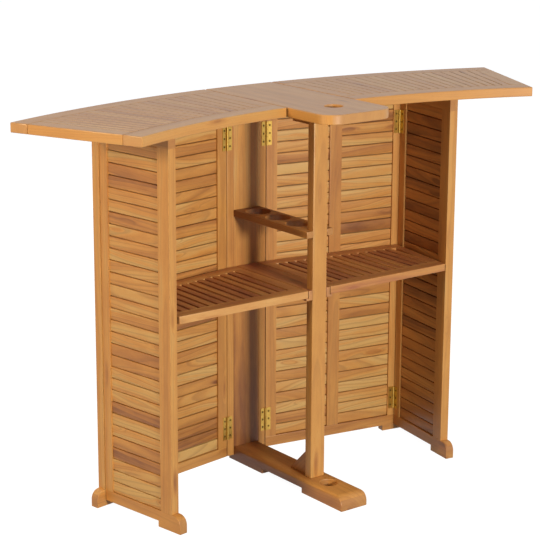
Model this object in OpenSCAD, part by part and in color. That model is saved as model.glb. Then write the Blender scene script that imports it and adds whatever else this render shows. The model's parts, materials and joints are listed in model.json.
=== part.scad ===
// Folding bar table in oiled teak. A curved slatted top in two leaves is hinged to a middle board
// with a nose, over slatted panels that fold in, two loose shelf leaves and a bottle rack.
// X runs along the top, +Y points at the guests, +Z is up. The origin is on the floor, under the
// middle of the overall box. Right pieces are modelled, and left pieces are their mirror images.

/* [Overall] */
// Height from the floor to the face of the top
table_h = 1050; // [980:5:1120]
// Width of the top between its outer corners
top_w = 1550; // [1480:5:1650]
// Depth from the front of the nose to the guests' edge
table_d = 525; // [510:1:550]

/* [Top] */
// Thickness of the rails of the top
top_t = 25; // [22:1:32]
// Radius of the guests' edge
outer_r = 2190; // [2000:10:2500]
// Radius of the server's edge
inner_r = 1567; // [1450:1:1750]
// Depth of the curved top at its middle
band_d = 356; // [345:1:368]
// How far an inner corner sits in from the outer corner
tip_step = 150; // [120:1:180]
// Width of the middle board between the two seams
centre_w = 220; // [200:1:240]
// Radius of the front corners of the nose
nose_corner_r = 48; // [15:1:60]
// Width of the curved rail at the guests' edge
outer_rail_w = 50; // [35:1:65]
// Width of the curved rail at the server's edge
inner_rail_w = 54; // [35:1:65]
// Width of the rail beside the seam
seam_rail_w = 43; // [30:1:60]
// Width of the rail across the tip
tip_rail_w = 45; // [30:1:60]
// Number of slats in a leaf of the top
top_slat_n = 19; // [14:1:24]
// Gap between the slats of the top
top_slat_gap = 2.5; // [1.5:0.5:5]
// Thickness of the slats of the top
top_slat_t = 15; // [10:1:18]
// Width of the ledge that carries the slats' ends
top_ledge_w = 12; // [8:1:18]

/* [Parasol] */
// Diameter of the parasol hole and of its socket
parasol_d = 48; // [36:1:54]
// Distance from the front of the nose to the centre of the hole
parasol_inset = 116; // [100:1:125]
// Depth of the socket in the foot beam
socket_depth = 28; // [18:1:30]

/* [Spine] */
// Width of the back board, the foot beam, the shelf plank and the bottle rack
board_w = 86; // [76:1:100]
// Thickness of the back board
board_t = 24; // [18:1:30]
// Distance from the guests' edge to the back face of the back board
board_setback = 15.7; // [10:0.1:30]
// Distance from the server's edge forward to the front face of the post
post_step = 5; // [0:0.5:10]
// Width of the post
post_w = 46.5; // [36:0.5:54]
// Depth of the post
post_t = 25.5; // [20:0.5:32]
// Height of the foot beam
beam_h = 40; // [36:1:50]
// Distance from the front of the nose to the front end of the foot beam
beam_setback = 9; // [4:1:20]
// Radius of the rounded front end of the foot beam
beam_nose_r = 28; // [15:1:34]
// Radius along the two long upper edges of the foot beam
beam_round = 9; // [3:1:14]
// Length of the pad under the front end of the foot beam
front_pad = 170; // [140:1:190]
// Length of the pad under the rear end of the foot beam
rear_pad = 156; // [100:1:180]
// Height of the foot beam's underside between its pads
relief_h = 14; // [6:1:18]
// Length of the two legs of the gusset
gusset_leg = 78; // [50:1:110]
// Thickness of the gusset
gusset_t = 24; // [16:1:36]
// Width of the hinge stiles beyond the hinge leaves on them
stile_margin = 7; // [4:0.25:12]
// Width of the bearer under the middle board
bearer_w = 36; // [24:1:44]
// Height of the bearer under the middle board
bearer_h = 32; // [22:1:45]
// Length of the bearer behind the post
bearer_len = 72; // [50:1:110]

/* [Rack] */
// Height of the upper face of the bottle rack
rack_z = 719.5; // [690:0.5:760]
// Thickness of the bottle rack
rack_t = 18; // [12:1:24]
// Diameter of a bottle hole
bottle_d = 68; // [50:1:74]
// Distance between the centres of the bottle holes
bottle_pitch = 88; // [80:1:100]
// Distance from the back board to the centre of the last bottle hole
bottle_inset = 53; // [45:1:60]

/* [Shelf] */
// Height of the upper face of the shelf
shelf_z = 562; // [500:1:620]
// Width of the lips along the shelf plank
lip_w = 8; // [5:0.5:12]
// Thickness of the lips along the shelf plank
lip_t = 6.7; // [5:0.1:10]
// Thickness of a shelf leaf
shelf_t = 20; // [20:1:26]
// Width of the front rail of a shelf leaf
shelf_front_w = 40; // [30:1:55]
// Width of the rear rail of a shelf leaf
shelf_rear_w = 38; // [30:1:55]
// Width of the rail of a shelf leaf beside the plank
shelf_inner_w = 33; // [24:1:40]
// Width of the rail of a shelf leaf beside the side panel
shelf_side_w = 24; // [20:1:36]
// Width of a shelf slat
shelf_slat_w = 20; // [16:1:26]
// Gap between the shelf slats
shelf_slot = 8; // [4:1:12]
// Thickness of the shelf slats
shelf_slat_t = 12; // [8:1:15]
// Width of the ledge that carries the shelf slats' ends
shelf_ledge_w = 10; // [6:1:16]
// Gap between a shelf leaf and the plank
shelf_seam_gap = 2; // [1:0.1:4]
// Gap between a shelf leaf and the side panel
shelf_side_gap = 5; // [4.8:0.1:8]
// Gap between a shelf leaf and the rear panel
shelf_rear_gap = 3; // [2:0.5:6]
// Height of the cleats under a shelf leaf
cleat_h = 20; // [14:1:30]
// Thickness of the cleats under a shelf leaf
cleat_t = 14; // [8:1:20]
// Distance from the front of a side panel to its cleat
cleat_setback = 60; // [45:1:90]

/* [Panels] */
// Angle by which a rear panel is turned in from the line of the back board
splay = 9.2; // [6:0.1:12]
// Thickness of the panels
panel_t = 24; // [22:1:28]
// Length of a rear panel from its pin
rear_len = 452; // [430:1:460]
// Length of a side panel
side_len = 251.2; // [235:0.1:255]
// Height of the panels' lower edge above the floor
panel_z = 16; // [10:1:25]
// Height of the sill of a panel above its lower edge
sill_h = 29; // [22:1:40]
// Height of the top rail of a panel
top_rail_h = 40.7; // [30:0.1:55]
// Width of the stile at the pinned end of a rear panel
rear_inner_stile_w = 33.25; // [28:0.25:45]
// Distance from the pin to the middle stile of a rear panel
mid_stile_u = 200; // [180:1:220]
// Width of the middle stile of a rear panel
mid_stile_w = 38; // [28:1:50]
// Width of the stile at the far end of a rear panel
rear_outer_stile_w = 47.4; // [46.8:0.1:56]
// Width of the front stile of a side panel
side_front_stile_w = 40; // [30:1:52]
// Width of the rear stile of a side panel
side_rear_stile_w = 28; // [24:1:40]
// How far a rear panel reaches past the side panel's outer face
end_overhang = 2.2; // [1:0.1:6]
// Gap between a side panel's rear edge and the rear panel's face
corner_gap = 1.2; // [0.8:0.1:2.5]
// Distance between the slats of a panel, which a whole number of slats adjusts
slat_pitch = 31.3; // [28:0.1:40]
// Gap between the slats of a panel
slat_gap = 2.5; // [1.5:0.1:5]
// Chamfer along the edges of the slats of a panel
slat_chamfer = 1.5; // [0.5:0.1:2.4]
// Depth of the slats' outer face behind the stiles' outer face
slat_recess = 2.5; // [1.5:0.1:4]
// Depth of the slats' inner face behind the stiles' inner face
slat_inset = 4.5; // [2:0.5:6]
// Length of the tenons at the slats' ends
slat_tenon = 5; // [3:0.5:8]
// Thickness of the tenons at the slats' ends
slat_tenon_t = 8; // [6:0.5:10]
// Thickness of the tongue along a slat
tongue_t = 5; // [3:0.5:6]
// How far a tongue reaches into the slat above it
tongue_bite = 2; // [1:0.5:4]

/* [Feet] */
// Radius of the rounded toes
toe_r = 24; // [12:1:25]
// Length of a toe in front of a side panel
front_toe = 31; // [26:1:40]
// Length of a toe past the end of a rear panel
rear_toe = 26; // [26:1:36]
// Length of a side panel's foot behind its front stile
front_heel = 10; // [5:1:30]
// Length of a rear panel's foot behind its outer stile
rear_heel = 15.6; // [5:0.1:30]

/* [Hinges] */
// Height of a hinge
hinge_h = 66; // [50:1:80]
// Distance from a hinge's axis to the far edge of a leaf
hinge_leaf_w = 16; // [14:0.5:18]
// Thickness of a hinge leaf
hinge_t = 1.6; // [1.2:0.1:2]
// Radius of a knuckle
knuckle_r = 3; // [2.6:0.1:3.1]
// Radius of a hinge pin
pin_r = 1.5; // [1:0.1:1.8]
// Height of a pin's axis above the wood
pin_proud = 3.4; // [3.4:0.1:4.5]
// Number of knuckles in a hinge
knuckle_n = 5; // [3:2:7]
// Radius of a screw's head in a hinge leaf
screw_head_r = 3.1; // [2.4:0.1:3.4]
// Radius of a screw's shank
screw_r = 1.6; // [1.2:0.1:2]
// Distance between the screws in a hinge leaf
screw_pitch = 22; // [18:0.5:24]
// Height of the middle of the lower panel hinges
hinge_low_z = 100; // [80:1:150]
// Distance from the table's face down to the middle of the upper panel hinges
hinge_high_drop = 132; // [110:1:160]
// Distance from the back board to the middle of the rear hinge of a top leaf
top_hinge_inset = 100; // [90:1:120]
// Distance between the two hinges of a top leaf
top_hinge_span = 150; // [120:1:170]

/* [Fits] */
// Gap at the seams of the top
seam_gap = 3; // [3:0.1:4]
// Gap between a back stile and a rear panel
hinge_gap = 1.5; // [1:0.1:2.5]
// Gap over the panels and under the shelf leaves
rest_gap = 0.3; // [0.2:0.05:0.6]
// Gap between pieces that are glued together
glue_gap = 0.1; // [0.05:0.05:0.3]
// Gap round the slats' ends in their grooves
groove_gap = 0.2; // [0.1:0.05:0.5]
// Gap between a hinge pin and its bore
pin_gap = 0.05; // [0.03:0.01:0.08]
// Gap between neighbouring knuckles
knuckle_gap = 0.3; // [0.2:0.05:0.6]

/* [Hidden] */

teak = "#c98b4b";
teak_pale = "#d9a766";
teak_red = "#a9693c";
brass = "#b8923f";
arc_fn = 360;
bore_fn = 48;
cut = 1; // overshoot of a cutting body past the face it cuts

front_y = -table_d / 2;
rear_y = table_d / 2;
under_z = table_h - top_t;
outer_c = rear_y - outer_r;
inner_y = rear_y - band_d;
inner_c = inner_y - inner_r;
board_back_y = rear_y - board_setback;
board_y = board_back_y - board_t;
post_y = inner_y - post_step;
post_back_y = post_y + post_t;
parasol_y = front_y + parasol_inset;
half_board = board_w / 2;

hinge_stile_w = hinge_leaf_w + stile_margin - hinge_gap / 2;
pin_x = half_board + hinge_stile_w + hinge_gap / 2;
pin_y = board_y - pin_proud;
side_pin_u = rear_len - end_overhang - panel_t - pin_proud;
panel_top = under_z - rest_gap;
slat_z0 = panel_z + sill_h;
slat_z1 = panel_top - top_rail_h;
slat_n = round((slat_z1 - slat_z0) / slat_pitch);
slat_step = (slat_z1 - slat_z0) / slat_n;
slat_t = panel_t - slat_recess - slat_inset;
slat_mid_b = slat_inset + slat_t / 2;
knuckle_h = hinge_h / knuckle_n - knuckle_gap;
hinge_zs = [hinge_low_z, table_h - hinge_high_drop];

seam_x = centre_w / 2;
leaf_x = seam_x + seam_gap / 2;
slat_x0 = leaf_x + seam_rail_w;
tip_out = [top_w / 2, arc_y(outer_c, outer_r, top_w / 2)];
tip_in = [top_w / 2 - tip_step, arc_y(inner_c, inner_r, top_w / 2 - tip_step)];
tip_a = atan2(tip_out[0] - tip_in[0], tip_out[1] - tip_in[1]);
tip_rail_x = tip_rail_w / cos(tip_a);

plank_t = shelf_t + rest_gap + lip_t;
shelf_x0 = half_board - lip_w + shelf_seam_gap;
shelf_u = side_pin_u + pin_proud - shelf_side_gap;
top_pin_z = under_z - pin_proud;
top_hinge_ys = [board_y - top_hinge_inset, board_y - top_hinge_inset - top_hinge_span];

// Y of an edge of radius r about [0, c] at a given x
function arc_y(c, r, x) = c + sqrt(r * r - x * x);

// X of the line of the tip at a given y
function tip_x(y) = tip_in[0] + (y - tip_in[1]) * tan(tip_a);

// A point given along a rear panel and behind its inner face
function rear_pt(u, v) = [
    pin_x + u * cos(splay) + (v + pin_proud) * sin(splay),
    pin_y - u * sin(splay) + (v + pin_proud) * cos(splay)
];

// Y at a given x on the line that lies v behind a rear panel's inner face
function rear_line_y(x, v) =
    rear_pt(0, v)[1] - (x - rear_pt(0, v)[0]) * tan(splay);

// X at a given y on the line that lies u along a rear panel, square to it
function side_line_x(y, u) =
    rear_pt(u, 0)[0] + (y - rear_pt(u, 0)[1]) * tan(splay);

// Place of a rear panel: x along it from the pin, y back from its inner face
module rear_frame() {
    translate([pin_x, pin_y, 0])
        rotate([0, 0, -splay])
            translate([0, pin_proud, 0])
                children();
}

// Place of a side panel: x forward from its rear edge, y out from its inner face
module side_frame() {
    rear_frame()
        translate([side_pin_u + pin_proud, -corner_gap, 0])
            rotate([0, 0, -90])
                children();
}

// Outline given in y and z, drawn out to a width that is centred on x
module across(w) {
    translate([-w / 2, 0, 0])
        rotate([90, 0, 90])
            linear_extrude(w)
                children();
}

// Curved top between its two edges, less an inset at each
module band(outer_inset, inner_inset) {
    difference() {
        translate([0, outer_c])
            circle(r = outer_r - outer_inset, $fn = arc_fn);
        translate([0, inner_c])
            circle(r = inner_r + inner_inset, $fn = arc_fn);
    }
}

// Part of a leaf of the top from x0 to an inset from the tip
module leaf_window(x0, tip_inset) {
    low = tip_in[1] - top_t;
    high = rear_y + top_t;
    polygon([[x0, low], [tip_x(low) - tip_inset, low], [tip_x(high) - tip_inset, high], [x0, high]]);
}

// Layer of the top from the underside up to a height
module top_layer(h) {
    translate([0, 0, under_z])
        linear_extrude(h)
            children();
}

// Outline of the middle board with its nose, before the parasol hole
module centre_outline() {
    half = seam_x - seam_gap / 2;
    root_y = arc_y(inner_c, inner_r, half);
    corner_y = front_y + nose_corner_r;
    intersection() {
        band(0, 0);
        translate([-half, root_y - cut])
            square([2 * half, rear_y - root_y + 2 * cut]);
    }
    translate([-half, corner_y])
        square([2 * half, inner_y + cut - corner_y]);
    translate([nose_corner_r - half, front_y])
        square([2 * (half - nose_corner_r), nose_corner_r + cut]);
    for (side = [-1, 1])
        translate([side * (half - nose_corner_r), corner_y])
            circle(r = nose_corner_r, $fn = bore_fn);
}

// Board of width w with a slot at its front end that the post fills
module notched_board(z_top, t, w) {
    translate([0, 0, z_top - t])
        linear_extrude(t)
            difference() {
                translate([-w / 2, post_y])
                    square([w, board_y - post_y]);
                translate([-post_w / 2, post_y - cut])
                    square([post_w, post_t + cut]);
            }
}

// Side view of a sill from a0 to a1, with a foot under its far end that reaches on by a toe
module sill_profile(a0, a1, toe, under) {
    heel_a = a1 - under;
    round_a = a1 + toe - toe_r;
    translate([a0, panel_z])
        square([a1 - a0, sill_h]);
    translate([heel_a, 0])
        square([round_a - heel_a, slat_z0]);
    translate([round_a - cut, 0])
        square([toe_r + cut, slat_z0 - toe_r]);
    translate([round_a, slat_z0 - toe_r])
        intersection() {
            circle(r = toe_r, $fn = bore_fn);
            translate([-cut, -cut])
                square(toe_r + 2 * cut);
        }
}

// Sill cut to its side view
module sill(a0, a1, toe, under) {
    translate([0, panel_t, 0])
        rotate([90, 0, 0])
            linear_extrude(panel_t)
                sill_profile(a0, a1, toe, under);
}

// Stile with a groove in each edge where slats end; width w from a0
module stile(a0, w, grooves) {
    groove = slat_tenon + glue_gap;
    groove_t = slat_tenon_t + 2 * groove_gap;
    z0 = slat_z0 + glue_gap;
    h = slat_z1 - slat_z0 - 2 * glue_gap;
    difference() {
        translate([a0, 0, z0])
            cube([w, panel_t, h]);
        for (edge = grooves)
            translate([edge > 0 ? a0 + w - groove : a0 - cut, slat_mid_b - groove_t / 2, z0 - cut])
                cube([groove + cut, groove_t, h + 2 * cut]);
    }
}

// End view of a slat on its lower edge: a groove below, a tongue above, and chamfered edges
module slat_profile() {
    h = slat_step - slat_gap;
    c = slat_chamfer;
    mid = slat_t / 2;
    half = tongue_t / 2;
    slot = half + groove_gap;
    slot_top = tongue_bite + groove_gap;
    tip = h + slat_gap + tongue_bite;
    polygon([
        [c, 0], [mid - slot, 0], [mid - slot, slot_top], [mid + slot, slot_top], [mid + slot, 0],
        [slat_t - c, 0], [slat_t, c], [slat_t, h - c], [slat_t - c, h],
        [mid + half, h], [mid + half, tip], [mid - half, tip], [mid - half, h],
        [c, h], [0, h - c], [0, c]
    ]);
}

// Column of tongued slats that fills the opening from a0 to a1, with a tenon at each end
module slat_column(a0, a1) {
    shoulder = tongue_bite + 2 * groove_gap;
    tenon_h = slat_step - slat_gap - 2 * shoulder;
    for (i = [0:slat_n - 1])
        translate([a0, 0, slat_z0 + i * slat_step + slat_gap / 2]) {
            translate([groove_gap, slat_inset, 0])
                rotate([90, 0, 90])
                    linear_extrude(a1 - a0 - 2 * groove_gap)
                        slat_profile();
            translate([-slat_tenon, slat_mid_b - slat_tenon_t / 2, shoulder])
                cube([a1 - a0 + 2 * slat_tenon, slat_tenon_t, tenon_h]);
        }
}

// Top rail of a panel from a0 to a1, grooved over each opening for the tongue of its top slat
module top_rail(a0, a1, openings) {
    groove_t = tongue_t + 2 * groove_gap;
    groove_h = slat_gap / 2 + tongue_bite + groove_gap;
    difference() {
        translate([a0, 0, slat_z1])
            cube([a1 - a0, panel_t, top_rail_h]);
        for (opening = openings)
            translate([opening[0], slat_mid_b - groove_t / 2, slat_z1 - cut])
                cube([opening[1] - opening[0], groove_t, groove_h + cut]);
    }
}

// Knuckles of one hinge leaf about z, and what joins them to it; 0 has the end knuckles
module knuckles(parity) {
    step = hinge_h / knuckle_n;
    for (i = [parity:2:knuckle_n - 1])
        translate([0, 0, i * step - hinge_h / 2 + knuckle_gap / 2]) {
            cylinder(r = knuckle_r, h = knuckle_h, $fn = bore_fn);
            children();
        }
}

// Countersunk holes for three screws, from the outer face of a hinge leaf
module screw_holes(t) {
    past = t / 10;
    flare = (screw_head_r - screw_r) / t * past;
    for (i = [-1:1])
        translate([0, -past, i * screw_pitch])
            rotate([-90, 0, 0])
                cylinder(r1 = screw_head_r + flare, r2 = screw_r - flare, h = t + 2 * past,
                    $fn = bore_fn);
}

// Hinge leaf on a face: it reaches along +x, and the wood lies past y = pin_proud
module face_leaf(parity) {
    clear = knuckle_r + knuckle_gap;
    difference() {
        union() {
            knuckles(parity)
                translate([0, pin_proud - hinge_t, 0])
                    cube([clear + cut, hinge_t, knuckle_h]);
            translate([clear, pin_proud - hinge_t, -hinge_h / 2])
                cube([hinge_leaf_w - clear, hinge_t, hinge_h]);
        }
        cylinder(r = pin_r + pin_gap, h = hinge_h + 2 * cut, center = true, $fn = bore_fn);
        translate([(clear + hinge_leaf_w) / 2, pin_proud - hinge_t, 0])
            screw_holes(hinge_t);
    }
}

// Pin of a hinge
module hinge_pin() {
    cylinder(r = pin_r, h = hinge_h, center = true, $fn = bore_fn);
}

// Places of the hinges, with the axis along z and the wood at +y
module at_rear_hinges() {
    for (z = hinge_zs)
        translate([pin_x, pin_y, z])
            children();
}

module at_side_hinges() {
    for (z = hinge_zs)
        rear_frame()
            translate([side_pin_u, -pin_proud, z])
                children();
}

module at_top_hinges() {
    for (y = top_hinge_ys)
        translate([seam_x, y, top_pin_z])
            rotate([90, 0, 0])
                children();
}

// A thing and its mirror image on the left
module both_sides() {
    children();
    mirror([1, 0, 0])
        children();
}

// Spine

// Side view of the foot beam: a round upper front corner, and a pad under each end
module beam_profile(y0) {
    difference() {
        union() {
            translate([y0 + beam_nose_r, 0])
                square([board_back_y - y0 - beam_nose_r, beam_h]);
            translate([y0, 0])
                square([beam_nose_r + cut, beam_h - beam_nose_r]);
            translate([y0 + beam_nose_r, beam_h - beam_nose_r])
                circle(r = beam_nose_r, $fn = bore_fn);
        }
        translate([y0 - cut, -2 * beam_nose_r])
            square([board_back_y - y0 + 2 * cut, 2 * beam_nose_r]);
        translate([y0 + front_pad, -cut])
            square([board_back_y - rear_pad - y0 - front_pad, relief_h + cut]);
    }
}

// End view of the foot beam, with its long upper edges rounded
module beam_section() {
    flat = half_board - beam_round;
    translate([-half_board, 0])
        square([board_w, beam_h - beam_round]);
    translate([-flat, 0])
        square([2 * flat, beam_h]);
    for (side = [-1, 1])
        translate([side * flat, beam_h - beam_round])
            circle(r = beam_round, $fn = bore_fn);
}

module foot_beam() {
    y0 = front_y + beam_setback;
    color(teak)
        difference() {
            intersection() {
                across(board_w)
                    beam_profile(y0);
                translate([0, board_back_y + cut, 0])
                    rotate([90, 0, 0])
                        linear_extrude(board_back_y - y0 + 2 * cut)
                            beam_section();
            }
            translate([0, parasol_y, beam_h - socket_depth])
                cylinder(d = parasol_d, h = socket_depth + cut, $fn = bore_fn);
        }
}

module front_post() {
    color(teak)
        translate([-post_w / 2, post_y, beam_h])
            cube([post_w, post_t, under_z - beam_h]);
}

module post_gusset() {
    color(teak_red)
        across(gusset_t)
            polygon([
                [post_back_y, beam_h], [post_back_y + gusset_leg, beam_h],
                [post_back_y, beam_h + gusset_leg]
            ]);
}

module back_board() {
    color(teak_pale)
        translate([-half_board, board_y, beam_h])
            cube([board_w, board_t, under_z - beam_h]);
}

module hinge_stile_right() {
    color(teak)
        translate([half_board, board_y, panel_z])
            cube([hinge_stile_w, board_t, panel_top - panel_z]);
}

module bottle_rack() {
    room = board_y - post_back_y - bottle_inset - bottle_d / 2;
    color(teak)
        difference() {
            notched_board(rack_z, rack_t, board_w);
            for (i = [0:floor(room / bottle_pitch)])
                translate([0, board_y - bottle_inset - i * bottle_pitch, rack_z - rack_t - cut])
                    cylinder(d = bottle_d, h = rack_t + 2 * cut, $fn = bore_fn);
        }
}

module shelf_plank() {
    color(teak_red) {
        notched_board(shelf_z, plank_t, board_w - 2 * lip_w);
        notched_board(shelf_z - plank_t + lip_t, lip_t, board_w);
    }
}

module top_centre_board() {
    color(teak_pale)
        difference() {
            top_layer(top_t)
                centre_outline();
            translate([0, parasol_y, under_z - cut])
                cylinder(d = parasol_d, h = top_t + 2 * cut, $fn = bore_fn);
        }
}

module top_bearer() {
    color(teak)
        translate([-bearer_w / 2, post_back_y, under_z - bearer_h])
            cube([bearer_w, bearer_len, bearer_h]);
}

module rear_hinge_fixed() {
    color(brass)
        both_sides()
            at_rear_hinges()
                mirror([1, 0, 0])
                    face_leaf(0);
}

module top_hinge_fixed() {
    color(brass)
        both_sides()
            at_top_hinges()
                mirror([1, 0, 0])
                    face_leaf(0);
}

module hinge_pins() {
    color(brass)
        both_sides() {
            at_rear_hinges()
                hinge_pin();
            at_top_hinges()
                hinge_pin();
        }
}

// Top leaf

module top_outer_rail_right() {
    color(teak) {
        top_layer(top_t)
            intersection() {
                leaf_window(leaf_x, 0);
                difference() {
                    band(0, 0);
                    translate([0, outer_c])
                        circle(r = outer_r - outer_rail_w, $fn = arc_fn);
                }
            }
        top_layer(top_t - top_slat_t)
            intersection() {
                leaf_window(slat_x0 + glue_gap, tip_rail_x + glue_gap);
                difference() {
                    translate([0, outer_c])
                        circle(r = outer_r - outer_rail_w + cut, $fn = arc_fn);
                    translate([0, outer_c])
                        circle(r = outer_r - outer_rail_w - top_ledge_w, $fn = arc_fn);
                }
            }
    }
}

module top_inner_rail_right() {
    color(teak) {
        top_layer(top_t)
            intersection() {
                leaf_window(leaf_x, 0);
                difference() {
                    translate([0, inner_c])
                        circle(r = inner_r + inner_rail_w, $fn = arc_fn);
                    translate([0, inner_c])
                        circle(r = inner_r, $fn = arc_fn);
                }
            }
        top_layer(top_t - top_slat_t)
            intersection() {
                leaf_window(slat_x0 + glue_gap, tip_rail_x + glue_gap);
                difference() {
                    translate([0, inner_c])
                        circle(r = inner_r + inner_rail_w + top_ledge_w, $fn = arc_fn);
                    translate([0, inner_c])
                        circle(r = inner_r + inner_rail_w - cut, $fn = arc_fn);
                }
            }
    }
}

module top_end_rails_right() {
    color(teak_pale)
        top_layer(top_t)
            intersection() {
                band(outer_rail_w + glue_gap, inner_rail_w + glue_gap);
                difference() {
                    leaf_window(leaf_x, 0);
                    leaf_window(slat_x0, tip_rail_x);
                }
            }
}

// The slats fan out evenly from square to the seam to the angle of the tip
module top_slats_right() {
    low = tip_in[1];
    high = tip_out[1];
    pitch_low = (tip_x(low) - tip_rail_x - slat_x0) / top_slat_n;
    pitch_high = (tip_x(high) - tip_rail_x - slat_x0) / top_slat_n;
    grow = (pitch_high - pitch_low) / (high - low);
    y0 = low - top_t;
    y1 = rear_y;
    p0 = pitch_low + grow * (y0 - low);
    p1 = pitch_low + grow * (y1 - low);
    inset = top_slat_gap / 2;
    color(teak)
        translate([0, 0, table_h - top_slat_t])
            linear_extrude(top_slat_t)
                intersection() {
                    band(outer_rail_w + glue_gap, inner_rail_w + glue_gap);
                    for (i = [0:top_slat_n - 1])
                        polygon([
                            [slat_x0 + i * p0 + inset, y0], [slat_x0 + (i + 1) * p0 - inset, y0],
                            [slat_x0 + (i + 1) * p1 - inset, y1], [slat_x0 + i * p1 + inset, y1]
                        ]);
                }
}

module top_hinge_moving_right() {
    color(brass)
        at_top_hinges()
            face_leaf(1);
}

// Shelf leaf

module shelf_rails_right() {
    front_edge = post_y + shelf_front_w;
    back_v = -shelf_rear_gap - shelf_rear_w;
    inner_x = shelf_x0 + shelf_inner_w;
    inner_u = shelf_u - shelf_side_w;
    g = glue_gap;
    ledge_t = shelf_t - shelf_slat_t;
    color(teak_red)
        translate([0, 0, shelf_z - shelf_t]) {
            linear_extrude(shelf_t)
                polygon([
                    [shelf_x0, post_y], [side_line_x(post_y, shelf_u), post_y],
                    [side_line_x(front_edge, shelf_u), front_edge], [shelf_x0, front_edge]
                ]);
            linear_extrude(ledge_t)
                polygon([
                    [inner_x + g, front_edge - cut],
                    [side_line_x(front_edge, inner_u) - cut, front_edge - cut],
                    [side_line_x(front_edge, inner_u) - cut, front_edge + shelf_ledge_w],
                    [inner_x + g, front_edge + shelf_ledge_w]
                ]);
            linear_extrude(shelf_t)
                polygon([
                    [shelf_x0, rear_line_y(shelf_x0, back_v)], rear_pt(shelf_u, back_v),
                    rear_pt(shelf_u, -shelf_rear_gap), rear_pt(0, -shelf_rear_gap),
                    [shelf_x0, board_y - shelf_rear_gap]
                ]);
            linear_extrude(ledge_t)
                polygon([
                    [inner_x + g, rear_line_y(inner_x, back_v) + cut],
                    [inner_x + g, rear_line_y(inner_x, back_v - shelf_ledge_w)],
                    rear_pt(inner_u - cut, back_v - shelf_ledge_w),
                    rear_pt(inner_u - cut, back_v + cut)
                ]);
            linear_extrude(shelf_t)
                polygon([
                    [shelf_x0, front_edge + g], [inner_x, front_edge + g],
                    [inner_x, rear_line_y(inner_x, back_v) - g],
                    [shelf_x0, rear_line_y(shelf_x0, back_v) - g]
                ]);
            linear_extrude(shelf_t)
                polygon([
                    [side_line_x(front_edge + g, inner_u), front_edge + g],
                    [side_line_x(front_edge + g, shelf_u), front_edge + g],
                    rear_pt(shelf_u, back_v - g), rear_pt(inner_u, back_v - g)
                ]);
        }
}

module shelf_slats_right() {
    front_edge = post_y + shelf_front_w + glue_gap;
    back_v = -shelf_rear_gap - shelf_rear_w - glue_gap;
    inner_x = shelf_x0 + shelf_inner_w;
    inner_u = shelf_u - shelf_side_w - glue_gap;
    pitch = shelf_slat_w + shelf_slot;
    reach = rear_pt(inner_u, back_v)[0] - inner_x - shelf_slot - shelf_slat_w / 2;
    color(teak_red)
        translate([0, 0, shelf_z - shelf_slat_t])
            linear_extrude(shelf_slat_t)
                intersection() {
                    polygon([
                        [inner_x, front_edge], [side_line_x(front_edge, inner_u), front_edge],
                        rear_pt(inner_u, back_v), [inner_x, rear_line_y(inner_x, back_v)]
                    ]);
                    for (i = [0:floor(reach / pitch)])
                        translate([inner_x + shelf_slot + i * pitch, post_y])
                            square([shelf_slat_w, board_y - post_y]);
                }
}

// Rear panel

rear_mid_end = mid_stile_u + mid_stile_w;
rear_outer_u = rear_len - rear_outer_stile_w;
rear_inner_end = hinge_gap / 2 + rear_inner_stile_w;

module rear_stiles_right() {
    color(teak)
        rear_frame() {
            stile(hinge_gap / 2, rear_inner_stile_w, [1]);
            stile(mid_stile_u, mid_stile_w, [-1, 1]);
            stile(rear_outer_u, rear_outer_stile_w, [-1]);
        }
}

module rear_rails_right() {
    color(teak)
        rear_frame()
            top_rail(hinge_gap / 2, rear_len,
                [[rear_inner_end, mid_stile_u], [rear_mid_end, rear_outer_u]]);
}

module rear_slats_right() {
    color(teak_pale)
        rear_frame() {
            slat_column(rear_inner_end, mid_stile_u);
            slat_column(rear_mid_end, rear_outer_u);
        }
}

module rear_foot_right() {
    color(teak)
        rear_frame()
            sill(hinge_gap / 2, rear_len, rear_toe, rear_outer_stile_w + rear_heel);
}

module rear_cleat_right() {
    u0 = rear_inner_stile_w / 2;
    color(teak_red)
        rear_frame()
            translate([u0, -cleat_t, shelf_z - shelf_t - rest_gap - cleat_h])
                cube([side_pin_u - rear_inner_stile_w - u0, cleat_t, cleat_h]);
}

module rear_hinge_moving_right() {
    color(brass)
        at_rear_hinges()
            rotate([0, 0, -splay])
                face_leaf(1);
}

module side_hinge_fixed_right() {
    color(brass)
        at_side_hinges()
            mirror([1, 0, 0])
                face_leaf(0);
}

module side_hinge_pins_right() {
    color(brass)
        at_side_hinges()
            hinge_pin();
}

// Side panel

side_front_a = side_len - side_front_stile_w;

module side_stiles_right() {
    color(teak)
        side_frame() {
            stile(0, side_rear_stile_w, [1]);
            stile(side_front_a, side_front_stile_w, [-1]);
        }
}

module side_rails_right() {
    color(teak)
        side_frame()
            top_rail(0, side_len, [[side_rear_stile_w, side_front_a]]);
}

module side_slats_right() {
    color(teak_pale)
        side_frame()
            slat_column(side_rear_stile_w, side_front_a);
}

module side_foot_right() {
    color(teak)
        side_frame()
            sill(0, side_len, front_toe, side_front_stile_w + front_heel);
}

module side_cleat_right() {
    a0 = side_rear_stile_w / 2 + cleat_t;
    color(teak_red)
        side_frame()
            translate([a0, -cleat_t, shelf_z - shelf_t - rest_gap - cleat_h])
                cube([side_len - cleat_setback - a0, cleat_t, cleat_h]);
}

module side_hinge_moving_right() {
    color(brass)
        at_side_hinges()
            rotate([0, 0, -90])
                face_leaf(1);
}

// Left pieces

module left() {
    mirror([1, 0, 0])
        children();
}

module hinge_stile_left() {
    left() hinge_stile_right();
}

module top_outer_rail_left() {
    left() top_outer_rail_right();
}

module top_inner_rail_left() {
    left() top_inner_rail_right();
}

module top_end_rails_left() {
    left() top_end_rails_right();
}

module top_slats_left() {
    left() top_slats_right();
}

module top_hinge_moving_left() {
    left() top_hinge_moving_right();
}

module shelf_rails_left() {
    left() shelf_rails_right();
}

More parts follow.
